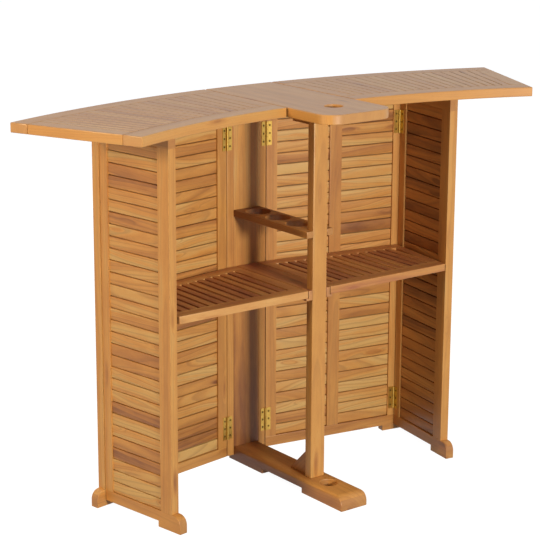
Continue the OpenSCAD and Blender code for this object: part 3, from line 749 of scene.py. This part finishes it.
def slat_tree() -> GeometryTree:
    """Draws a column of slats along x, one above the other along z.

    Each is a rounded bar with a tenon through its length and a tongue that reaches up into the next.

    Returns:
        The tree.
    """
    made = GeometryTree("slat_column")
    tree = made.tree
    i = made.takes(Count="Int", Step="Vector", Start="Vector", End="Vector", Height="Float",
                   Thickness="Float", Round="Float", Tenon="Vector", Tongue="Vector", Lift="Vector",
                   LowTone="Float", HighTone="Float", Skew="Float", LowShift="Vector",
                   HighShift="Vector", LowLean="Vector", HighLean="Vector", Seed="Int", LeanSeed="Int")
    line = add_node(tree, "GeometryNodeCurvePrimitiveLine", {"Start": i["Start"], "End": i["End"]})
    section = add_node(tree, "GeometryNodeCurvePrimitiveQuadrilateral", {
        "Width": i["Height"], "Height": i["Thickness"],
    })
    eased = add_node(tree, "GeometryNodeFilletCurve", {
        "Curve": section, "Radius": i["Round"], "Count": 3,
    }, mode="POLY")
    bar = add_node(tree, "GeometryNodeCurveToMesh", {
        "Curve": line, "Profile Curve": eased, "Fill Caps": True,
    })
    upright = add_node(tree, "GeometryNodeTransform", {
        "Geometry": bar, "Rotation": (0.0, math.pi / 2, 0.0),
    })
    tenon = add_node(tree, "GeometryNodeMeshCube", {"Size": i["Tenon"]})
    tongue = add_node(tree, "GeometryNodeMeshCube", {"Size": i["Tongue"]})
    lifted = add_node(tree, "GeometryNodeTransform", {"Geometry": tongue, "Translation": i["Lift"]})
    # The tongue shows in the gap between slats and is marked for painted shade
    gap_shaded = add_node(tree, "GeometryNodeStoreNamedAttribute", {
        "Geometry": lifted, "Name": "soil", "Value": 1.0,
    }, data_type="FLOAT", domain="POINT")
    whole = add_node(tree, "GeometryNodeJoinGeometry", {0: [upright, tenon, gap_shaded]})
    own = add_node(tree, "GeometryNodeStoreNamedAttribute", {
        "Geometry": whole, "Name": "own", "Value": add_node(tree, "GeometryNodeInputPosition"),
    }, data_type="FLOAT_VECTOR", domain="POINT")
    slats = made.row(own, i["Count"], i["Step"])

    index = add_node(tree, "GeometryNodeInputIndex")
    drawn = add_node(tree, "FunctionNodeRandomValue", {2: 0.0, 3: 1.0, "ID": index, "Seed": i["Seed"]},
                     data_type="FLOAT")
    skewed = add_node(tree, "ShaderNodeMath", {0: drawn.outputs[1], 1: i["Skew"]}, operation="POWER")
    tone = add_node(tree, "ShaderNodeMapRange", {
        "Value": skewed, "To Min": i["LowTone"], "To Max": i["HighTone"],
    })
    shift, lean = [add_node(tree, "FunctionNodeRandomValue", {
        0: i[f"Low{word}"], 1: i[f"High{word}"], "ID": index, "Seed": i[seed],
    }, data_type="FLOAT_VECTOR") for word, seed in (("Shift", "Seed"), ("Lean", "LeanSeed"))]
    for mark, kind, value in (("tone", "FLOAT", tone), ("shift", "FLOAT_VECTOR", shift),
                              ("lean", "FLOAT_VECTOR", lean)):
        slats = add_node(tree, "GeometryNodeStoreNamedAttribute", {
            "Geometry": slats, "Name": mark, "Value": value,
        }, data_type=kind, domain="INSTANCE")
    real = add_node(tree, "GeometryNodeRealizeInstances", {"Geometry": slats})
    own, shift, lean = [add_node(tree, "GeometryNodeInputNamedAttribute", {"Name": mark},
                                 data_type="FLOAT_VECTOR") for mark in ("own", "shift", "lean")]
    turned = add_node(tree, "ShaderNodeVectorRotate", {"Vector": own, "Rotation": lean},
                      rotation_type="EULER_XYZ")
    total = add_node(tree, "ShaderNodeVectorMath", {0: turned, 1: shift}, operation="ADD")
    marked = add_node(tree, "GeometryNodeStoreNamedAttribute", {
        "Geometry": real, "Name": "grain", "Value": total,
    }, data_type="FLOAT_VECTOR", domain="POINT")
    made.gives(marked, Finish.SLATS.material)
    return made


def screw_tree() -> GeometryTree:
    """Draws a row of countersunk screw heads along z, with a cross recess, facing along -y.

    Returns:
        The tree.
    """
    made = GeometryTree("screw_row")
    tree = made.tree
    i = made.takes(Count="Int", Step="Vector", Head="Float", Depth="Float", Lift="Vector",
                   Recess="Float", NeckShare="Float", ArmShare="Float", CutShare="Float")
    shares = (("Head", "NeckShare"), ("Head", "ArmShare"), ("Depth", "CutShare"))
    neck, arm, deep = [add_node(tree, "ShaderNodeMath", {0: i[size], 1: i[share]}, operation="MULTIPLY")
                       for size, share in shares]
    head = add_node(tree, "GeometryNodeMeshCone", {
        "Vertices": 24, "Radius Top": i["Head"], "Radius Bottom": neck, "Depth": i["Depth"],
    })
    blades = []
    for wide, high in ((arm, i["Recess"]), (i["Recess"], arm)):
        size = add_node(tree, "ShaderNodeCombineXYZ", {"X": wide, "Y": high, "Z": deep})
        blades.append(add_node(tree, "GeometryNodeTransform", {
            "Geometry": add_node(tree, "GeometryNodeMeshCube", {"Size": size}), "Translation": i["Lift"],
        }))
    cross = add_node(tree, "GeometryNodeMeshBoolean", {"Mesh 1": head, "Mesh 2": blades},
                     operation="DIFFERENCE")
    turned = add_node(tree, "GeometryNodeTransform", {
        "Geometry": cross, "Rotation": (math.pi / 2, 0.0, 0.0),
    })
    made.gives(made.row(turned, i["Count"], i["Step"]), Finish.SCREWS.material)
    return made


def joined(meshes: list[Mesh], turns: list[Matrix]) -> Mesh:
    """Joins meshes, each moved by its own matrix, with their marks.

    Args:
        meshes: Meshes to join.
        turns: Matrix of each, where a mirror image turns its faces round.

    Returns:
        One mesh, made of copies.
    """
    parts = []
    for mesh, turn in zip(meshes, turns):
        copy = mesh.copy()
        copy.transform(turn)
        if turn.determinant() < 0:
            copy.flip_normals()
        parts.append(add_object("part", copy))
    with bpy.context.temp_override(active_object=parts[0], selected_objects=parts,
                                   selected_editable_objects=parts, object=parts[0]):
        bpy.ops.object.join()
    mesh = parts[0].data
    bpy.data.objects.remove(parts[0])
    return mesh


def rear_pin() -> Vector:
    """Place of the pin between the back board and the right rear panel, on the floor."""
    joint = next(j for j in frame["joints"] if j["name"] == "rear_panel_right_swing")
    return Vector((*joint["pos_m"][:2], 0.0))


@dataclass
class PanelSlats:
    """Column of slats in the opening of a panel.

    Attributes:
        low: Height of the lower end of the opening.
        high: Height of its upper end.
        count: Number of slats.
        gap: Gap between slats.
        thickness: Thickness of a slat.
        face: Distance from the panel's inner face to the slats.
        play: Gap between a slat's ends and the stiles.
        tenon: Length and thickness of a slat's tenons.
        tenon_share: Height of the tenons as a share of the slat's.
        tongue: Reach and thickness of the tongue along a slat's upper edge.
        rounding: Radius of a slat's edges.
        log_reach: How far from the heart of the log slats are cut.
        lean: Largest angle between a slat's grain and its length.
        smooth: Largest angle that is shaded round.
    """

    low: float = 45.0
    high: float = 984.0
    count: int = 30
    gap: float = 2.5
    thickness: float = 17.0
    face: float = 4.5
    play: float = 0.2
    tenon: tuple[float, float] = (5.0, 8.0)
    tenon_share: float = 0.8
    tongue: tuple[float, float] = (4.5, 5.0)
    rounding: float = 1.6
    log_reach: float = 90.0
    lean: float = 6.0
    smooth: float = 35.0

    def mesh(self, tree: GeometryTree, opening: tuple[float, float], words: str,
             tones: tuple[float, float, float]) -> Mesh:
        """Makes the slats between two stiles.

        Args:
            tree: Tree that draws them.
            opening: Where the opening starts and where it ends, along the panel.
            words: Words that seed the slats' own tones and figure.
            tones: Lowest and highest tone, and how much more often the low ones come.

        Returns:
            The slats, with x along the panel and y out from its inner face.
        """
        pitch = (self.high - self.low) / self.count
        height = (pitch - self.gap) * MM
        start, stop = opening
        length = (stop - start - 2 * self.play) * MM
        reach = self.log_reach * MM
        lean = math.radians(self.lean)
        seed = zlib.crc32(words.encode()) % 10000
        bars = tree.run(
            Count=self.count, Step=(0.0, 0.0, pitch * MM), Start=(0.0, 0.0, -length / 2),
            End=(0.0, 0.0, length / 2), Height=height, Thickness=self.thickness * MM,
            Round=self.rounding * MM,
            Tenon=(length + 2 * self.tenon[0] * MM, self.tenon[1] * MM, self.tenon_share * height),
            Tongue=(length, self.tongue[1] * MM, 2 * self.tongue[0] * MM), Lift=(0.0, 0.0, height / 2),
            LowTone=tones[0], HighTone=tones[1], Skew=tones[2], LowShift=(0.0, -reach, -reach),
            HighShift=(LOG_LENGTH, reach, reach), LowLean=(0.0, -lean, -lean), HighLean=(0.0, lean, lean),
            Seed=seed, LeanSeed=seed + 1)
        middle = Vector(((start + stop) / 2, self.face + self.thickness / 2, self.low + pitch / 2)) * MM
        bars.transform(Matrix.Translation(middle))
        bars.attributes.new("end", "FLOAT", "FACE")
        bars.shade_smooth()
        bars.set_sharp_from_angle(angle=math.radians(self.smooth))
        return bars


@dataclass
class Panel:
    """Folding panel on one side: a frame of wood round columns of slats, with a foot and a cleat.

    Attributes:
        side: Half of the table that it is on.
        kind: Word that its nodes and its body start with.
        stile_tones: Lowest and highest tone of its stiles.
        tones: Lowest and highest tone of its slats, and how much more often the low ones come.
        openings: Where each column of slats starts and ends, along the panel.
        rail_tones: Lowest and highest tone of its rails and foot.
        splay: Angle between the rear panels and the back board.
        proud: How far the pins stand before the panels' inner faces.
        pin_along: Distance between the pins at the two edges of a rear panel.
        corner_gap: Gap between a side panel and the edge of its rear panel.
        slats: Sizes of the slats.
    """

    side: Side
    kind: str
    stile_tones: tuple[float, float]
    tones: tuple[float, float, float]
    openings: tuple[tuple[float, float], ...]
    rail_tones: tuple[float, float] = (0.25, 0.5)
    splay: float = 9.2
    proud: float = 3.4
    pin_along: float = 422.4
    corner_gap: float = 1.2
    slats: PanelSlats = field(default_factory=PanelSlats)

    @classmethod
    def rear(cls, side: Side) -> "Panel":
        """Rear panel, with two columns of slats between its three stiles."""
        return cls(side, "rear", (0.25, 0.5), (0.08, 0.75, 1.6), ((34.0, 200.0), (238.0, 404.6)))

    @classmethod
    def end(cls, side: Side) -> "Panel":
        """Side panel, square to the outer edge of a rear panel. The right one's slats get darker, more even
        tones as painted shade, for the shade its inner face stands in.
        """
        # Painted shade: darker, more even tones on the right panel's slats
        tones = (0.1, 0.75, 1.4) if side is Side.LEFT else (0.45, 0.85, 1.0)
        return cls(side, "side", (0.15, 0.35), tones, ((28.0, 211.2),))

    def hinge_place(self) -> Matrix:
        """Place of the right rear panel's pin, with x along the panel and y towards the guests."""
        return Matrix.Translation(rear_pin()) @ Matrix.Rotation(math.radians(-self.splay), 4, "Z")

    def place(self) -> Matrix:
        """Finds the place of the panel of this kind on the right.

        Returns:
            Matrix with x along the panel and y out from its inner face.
        """
        rear = self.hinge_place() @ Matrix.Translation((0.0, self.proud * MM, 0.0))
        if self.kind == "rear":
            return rear
        corner = Matrix.Translation(((self.pin_along + self.proud) * MM, -self.corner_gap * MM, 0.0))
        return rear @ corner @ Matrix.Rotation(-math.pi / 2, 4, "Z")

    def build(self, tree: GeometryTree) -> None:
        """Builds and dresses the panel.

        Args:
            tree: Tree that draws a column of slats.
        """
        name = self.side.of(f"{self.kind} panel")
        for part, tones, joinery in (("stiles", self.stile_tones, Joinery(ease=1.2, outline_only=True)),
                                     ("rails", self.rail_tones, Joinery(ease=1.0, outline_only=True)),
                                     ("foot", self.rail_tones, Joinery(ease=1.0))):
            cut_wood(self.side.of(f"{self.kind}_{part}"), BoardMarks(f"{name} {part}", tones), joinery)
        cut_wood(self.side.of(f"{self.kind}_cleat"), BoardMarks(f"{name} cleat"), Joinery(), Finish.SHELF)
        words = [f"{name} {i}" for i in range(len(self.openings))] if self.kind == "rear" else [name]
        columns = [self.slats.mesh(tree, opening, word, self.tones)
                   for opening, word in zip(self.openings, words)]
        turn = self.side.mirror() @ self.place()
        node = self.side.of(f"{self.kind}_slats")
        put(joined(columns, [turn] * len(columns)), f"{node}_wood", self.side.of(f"{self.kind}_panel"),
            Finish.SLATS, [node])


@dataclass
class TopLeaf:
    """Curved leaf of the top: pieces with their tones, eased edges and sides darkened by painted shade."""

    side: Side
    # Node, tones, eased edge, and the painted shade on the sides that face gaps
    pieces: tuple[tuple[str, tuple[float, float], float, float], ...] = (
        ("top_outer_rail", (0.35, 0.6), 2.2, 0.0),
        ("top_inner_rail", (0.35, 0.6), 2.2, 0.0),
        ("top_end_rails", (0.3, 0.5), 2.0, 0.0),
        ("top_slats", (0.28, 0.55), 0.8, 0.5),
    )

    def build(self) -> None:
        """Builds and dresses the leaf."""
        for stem, tones, ease, soil in self.pieces:
            marks = BoardMarks(f"{self.side.of('top leaf')} {stem}", tones, Figure.RIFT, soil=soil)
            cut_wood(self.side.of(stem), marks, Joinery(ease=ease), Finish.TOP)


@dataclass
class ShelfLeaf:
    """Shelf leaf of rails and open slats: pieces with their tones."""

    side: Side
    ease: float = 1.2
    pieces: tuple[tuple[str, tuple[float, float]], ...] = (
        ("shelf_rails", (0.26, 0.36)),
        ("shelf_slats", (0.3, 0.75)),
    )

    def build(self) -> None:
        """Builds and dresses the leaf."""
        for stem, tones in self.pieces:
            marks = BoardMarks(f"{self.side.of('shelf leaf')} {stem}", tones)
            cut_wood(self.side.of(stem), marks, Joinery(ease=self.ease), Finish.SHELF)


@dataclass(frozen=True)
class SpineBoard:
    """Board of the spine.

    Attributes:
        node: Name of its node.
        tones: Lowest and highest tone.
        ease: Width of its eased edges.
        finish: Its slot and look.
        along: Direction of the grain, where it isn't its longest side.
        drift: Rise of the tone from its low end to its high end.
    """

    node: str
    tones: tuple[float, float]
    ease: float
    finish: Finish = Finish.FRAME
    along: Vector | None = None
    drift: float = 0.0

    def build(self) -> None:
        """Builds and dresses the board."""
        marks = BoardMarks(self.node, self.tones, drift=self.drift)
        cut_wood(self.node, marks, Joinery(ease=self.ease), self.finish, self.along)


@dataclass
class Spine:
    """Everything that stays put: the foot beam, post, back board, plank, rack and middle board."""

    boards: tuple[SpineBoard, ...] = (
        # Painted shade: the foot beam's tone darkens towards its rear end
        SpineBoard("foot_beam", (0.68, 0.72), 2.0, along=ALONG_Y, drift=0.5),
        SpineBoard("front_post", (0.24, 0.28), 2.5),
        SpineBoard("post_gusset", (0.5, 0.6), 1.5),
        SpineBoard("back_board", (0.45, 0.5), 1.0, drift=-0.8),
        SpineBoard("hinge_stile_left", (0.3, 0.4), 1.2),
        SpineBoard("hinge_stile_right", (0.3, 0.4), 1.2),
        SpineBoard("bottle_rack", (0.62, 0.66), 1.5, along=ALONG_Y, drift=0.6),
        SpineBoard("shelf_plank", (0.5, 0.6), 1.5, Finish.SHELF, ALONG_Y),
        SpineBoard("top_bearer", (0.4, 0.5), 1.6),
        SpineBoard("top_centre_board", (0.3, 0.4), 2.5, Finish.TOP, ALONG_Y),
    )

    def build(self) -> None:
        """Builds and dresses the spine."""
        for board in self.boards:
            board.build()


@dataclass
class Hinges:
    """Brass of the hinges, and the screws in those that show.

    Attributes:
        heights: Heights of the middles of the hinges on a panel's edge.
        leaf_w: Distance from the pin to the outer edge of a leaf.
        inner_w: Distance from the pin to where its flat starts.
        leaf_t: Thickness of a leaf.
        count: Number of screws in a leaf.
        pitch: Distance between screws.
        head: Radius of a screw's head.
        depth: Depth of the head.
        recess: Width of an arm of the cross recess.
        neck_share: Radius of the head's lower end as a share of its own.
        arm_share: Length of an arm as a share of the head's radius.
        cut_share: Height of the recess's cutter as a share of the head's depth.
    """

    heights: tuple[float, float] = (100.0, 918.0)
    leaf_w: float = 16.0
    inner_w: float = 3.3
    leaf_t: float = 1.6
    count: int = 3
    pitch: float = 22.0
    head: float = 2.9
    depth: float = 1.4
    recess: float = 0.8
    neck_share: float = 0.55
    arm_share: float = 1.15
    cut_share: float = 1.2

    def build(self) -> None:
        """Dresses the brass nodes and puts in the screws of the hinges that show."""
        for name, node in frame["nodes"].items():
            if "hinge" in name and "stile" not in name:
                node.data.materials.clear()
                node.data.materials.append(Finish.BRASS.material)
        row = self._screw_row()
        panel = Panel.rear(Side.RIGHT)
        pin = Matrix.Translation(rear_pin())
        corner = panel.place() @ Matrix.Translation((panel.pin_along * MM, -panel.proud * MM, 0.0))
        back = Matrix.Diagonal((-1.0, 1.0, 1.0, 1.0))
        places = {
            "root": ("rear_hinge_fixed_screws", [pin @ back]),
            "rear_panel": ("rear_panel_hinge_screws", [panel.hinge_place(), corner @ back]),
            "side_panel": ("side_hinge_moving_screws", [corner @ Matrix.Rotation(-math.pi / 2, 4, "Z")]),
        }
        middle = (self.inner_w + self.leaf_w) / 2
        local = Matrix.Translation((middle * MM, (panel.proud - self.leaf_t / 2) * MM, 0.0))
        for side in Side:
            for body, (name, turns) in places.items():
                spots = [side.mirror() @ turn @ Matrix.Translation((0.0, 0.0, z * MM)) @ local
                         for turn in turns for z in self.heights]
                on = body if body == "root" else side.of(body)
                put(joined([row] * len(spots), spots), side.of(name), on, Finish.SCREWS)

    def _screw_row(self) -> Mesh:
        """Makes the screws of one leaf.

        Returns:
            The screws, with their middle at the origin.
        """
        pitch = self.pitch * MM
        depth = self.depth * MM
        row = screw_tree().run(
            Count=self.count, Step=(0.0, 0.0, pitch), Head=self.head * MM, Depth=depth,
            Lift=(0.0, 0.0, depth), Recess=self.recess * MM, NeckShare=self.neck_share,
            ArmShare=self.arm_share, CutShare=self.cut_share)
        row.transform(Matrix.Translation((0.0, 0.0, -pitch * (self.count - 1) / 2)))
        return row


@dataclass(frozen=True)
class Lamp:
    """Square soft lamp that faces the middle of the table.

    Attributes:
        name: Name of the lamp.
        place: Its place in metres.
        size: Length of its sides in metres.
        power: Its power in watts.
        colour: Colour of its light.
        glints: Whether polished faces mirror it.
        aim: Point in metres that it faces.
    """

    name: str
    place: tuple[float, float, float]
    size: float
    power: float
    colour: str
    glints: bool = True
    aim: tuple[float, float, float] = (0.0, 0.0, 0.6)

    def hang(self) -> None:
        """Puts the lamp in the scene."""
        data = bpy.data.lights.new(self.name, "AREA")
        data.size = self.size
        data.energy = self.power
        data.color = linear(self.colour)[:3]
        lamp = add_object(self.name, data)
        lamp.location = self.place
        lamp.visible_glossy = self.glints
        lamp.rotation_euler = (Vector(self.aim) - Vector(self.place)).to_track_quat("-Z", "Y").to_euler()


@dataclass
class Studio:
    """Ground, light and camera.

    Attributes:
        eye: Place of the camera.
        yaw: Turn of the view from +Y towards +X.
        pitch: Tilt of the view below the horizon.
        roll: Turn of the picture.
        lens: Focal length for a picture of picture_w, which is 540 by 540 pixels.
        picture_w: Width of the picture.
        ground: Length of the ground's sides in metres.
        lamps: Low lamp in front, warm lamp at the left, wide lamp above and lamp behind.
    """

    eye: tuple[float, float, float] = (-2862.5, -3660.4, 1813.1)
    yaw: float = 37.163
    pitch: float = 14.729
    roll: float = 0.261
    lens: float = 121.25
    picture_w: float = 36.0
    ground: float = 30.0
    lamps: tuple[Lamp, ...] = (
        Lamp("front_lamp", (-0.36, -4.6, 1.5), 0.5, 179.0, "#fffdf8"),
        Lamp("side_lamp", (-4.4, 0.0, 2.0), 0.9, 112.0, "#ffe9c4"),
        Lamp("top_lamp", (0.2, 0.6, 4.4), 3.0, 5.0, "#ffffff"),
        Lamp("rear_lamp", (-0.3, 4.4, 1.1), 1.4, 80.0, "#fffdf8", glints=False),
    )

    def camera(self) -> None:
        """Puts the camera at the photograph's viewpoint."""
        yaw, pitch, roll = (math.radians(a) for a in (self.yaw, self.pitch, self.roll))
        ahead = Vector((math.sin(yaw) * math.cos(pitch), math.cos(yaw) * math.cos(pitch), -math.sin(pitch)))
        level = Vector((math.cos(yaw), -math.sin(yaw), 0.0))
        upright = level.cross(ahead)
        right = math.cos(roll) * level + math.sin(roll) * upright
        up = -math.sin(roll) * level + math.cos(roll) * upright
        data = bpy.data.cameras.new("camera")
        data.sensor_fit = "HORIZONTAL"
        data.sensor_width = self.picture_w
        data.lens = self.lens
        camera = add_object("camera", data)
        turn = Matrix((right, up, -ahead)).transposed().to_4x4()
        camera.matrix_world = Matrix.Translation(Vector(self.eye) * MM) @ turn
        bpy.context.scene.camera = camera

    def floor(self) -> None:
        """Lays the pale ground, which shows white with a faint shadow."""
        mesh = bpy.data.meshes.new("ground")
        half = self.ground / 2
        mesh.from_pydata([(-half, -half, 0), (half, -half, 0), (half, half, 0), (-half, half, 0)], [],
                         [(0, 1, 2, 3)])
        ground = add_object("ground", mesh)
        # Matt paper: its light on the table is that of mid grey, and its own face is near white
        material = bpy.data.materials.new("white_matt_paper")
        tree = empty_tree(material)
        paper = add_node(tree, "ShaderNodeBsdfDiffuse", {"Color": linear("#74767a")})
        shown = add_node(tree, "ShaderNodeBsdfDiffuse", {"Color": linear("#787878")})
        glow = add_node(tree, "ShaderNodeEmission", {"Color": linear("#ffffff"), "Strength": 0.97})
        white = add_node(tree, "ShaderNodeAddShader", {0: shown, 1: glow})
        mix = add_node(tree, "ShaderNodeMixShader", {
            0: is_any_ray(tree, "Is Camera Ray", "Is Glossy Ray"), 1: paper, 2: white,
        })
        add_node(tree, "ShaderNodeOutputMaterial", {"Surface": mix})
        mesh.materials.append(material)

    def light(self) -> None:
        """Sets a white surround with faint cool light, and hangs the lamps."""
        world = bpy.data.worlds.new("white_surround")
        bpy.context.scene.world = world
        tree = empty_tree(world)
        soft = add_node(tree, "ShaderNodeBackground", {"Color": linear("#d6e3ff"), "Strength": 0.32})
        white = add_node(tree, "ShaderNodeBackground", {"Color": linear("#ffffff"), "Strength": 1.0})
        mix = add_node(tree, "ShaderNodeMixShader", {
            0: is_any_ray(tree, "Is Camera Ray", "Is Glossy Ray", "Is Transmission Ray"), 1: soft, 2: white,
        })
        add_node(tree, "ShaderNodeOutputWorld", {"Surface": mix})
        for lamp in self.lamps:
            lamp.hang()


def main() -> None:
    """Builds the table piece by piece, then the studio."""
    logging.basicConfig(level=logging.INFO, format="%(name)s %(message)s")
    bpy.context.scene.view_settings.view_transform = "Standard"
    studio = Studio()
    studio.camera()
    slats = slat_tree()
    Spine().build()
    for side in Side:
        TopLeaf(side).build()
        ShelfLeaf(side).build()
        Panel.rear(side).build(slats)
        Panel.end(side).build(slats)
    Hinges().build()
    studio.floor()
    studio.light()


if __name__ == "__main__":
    main()
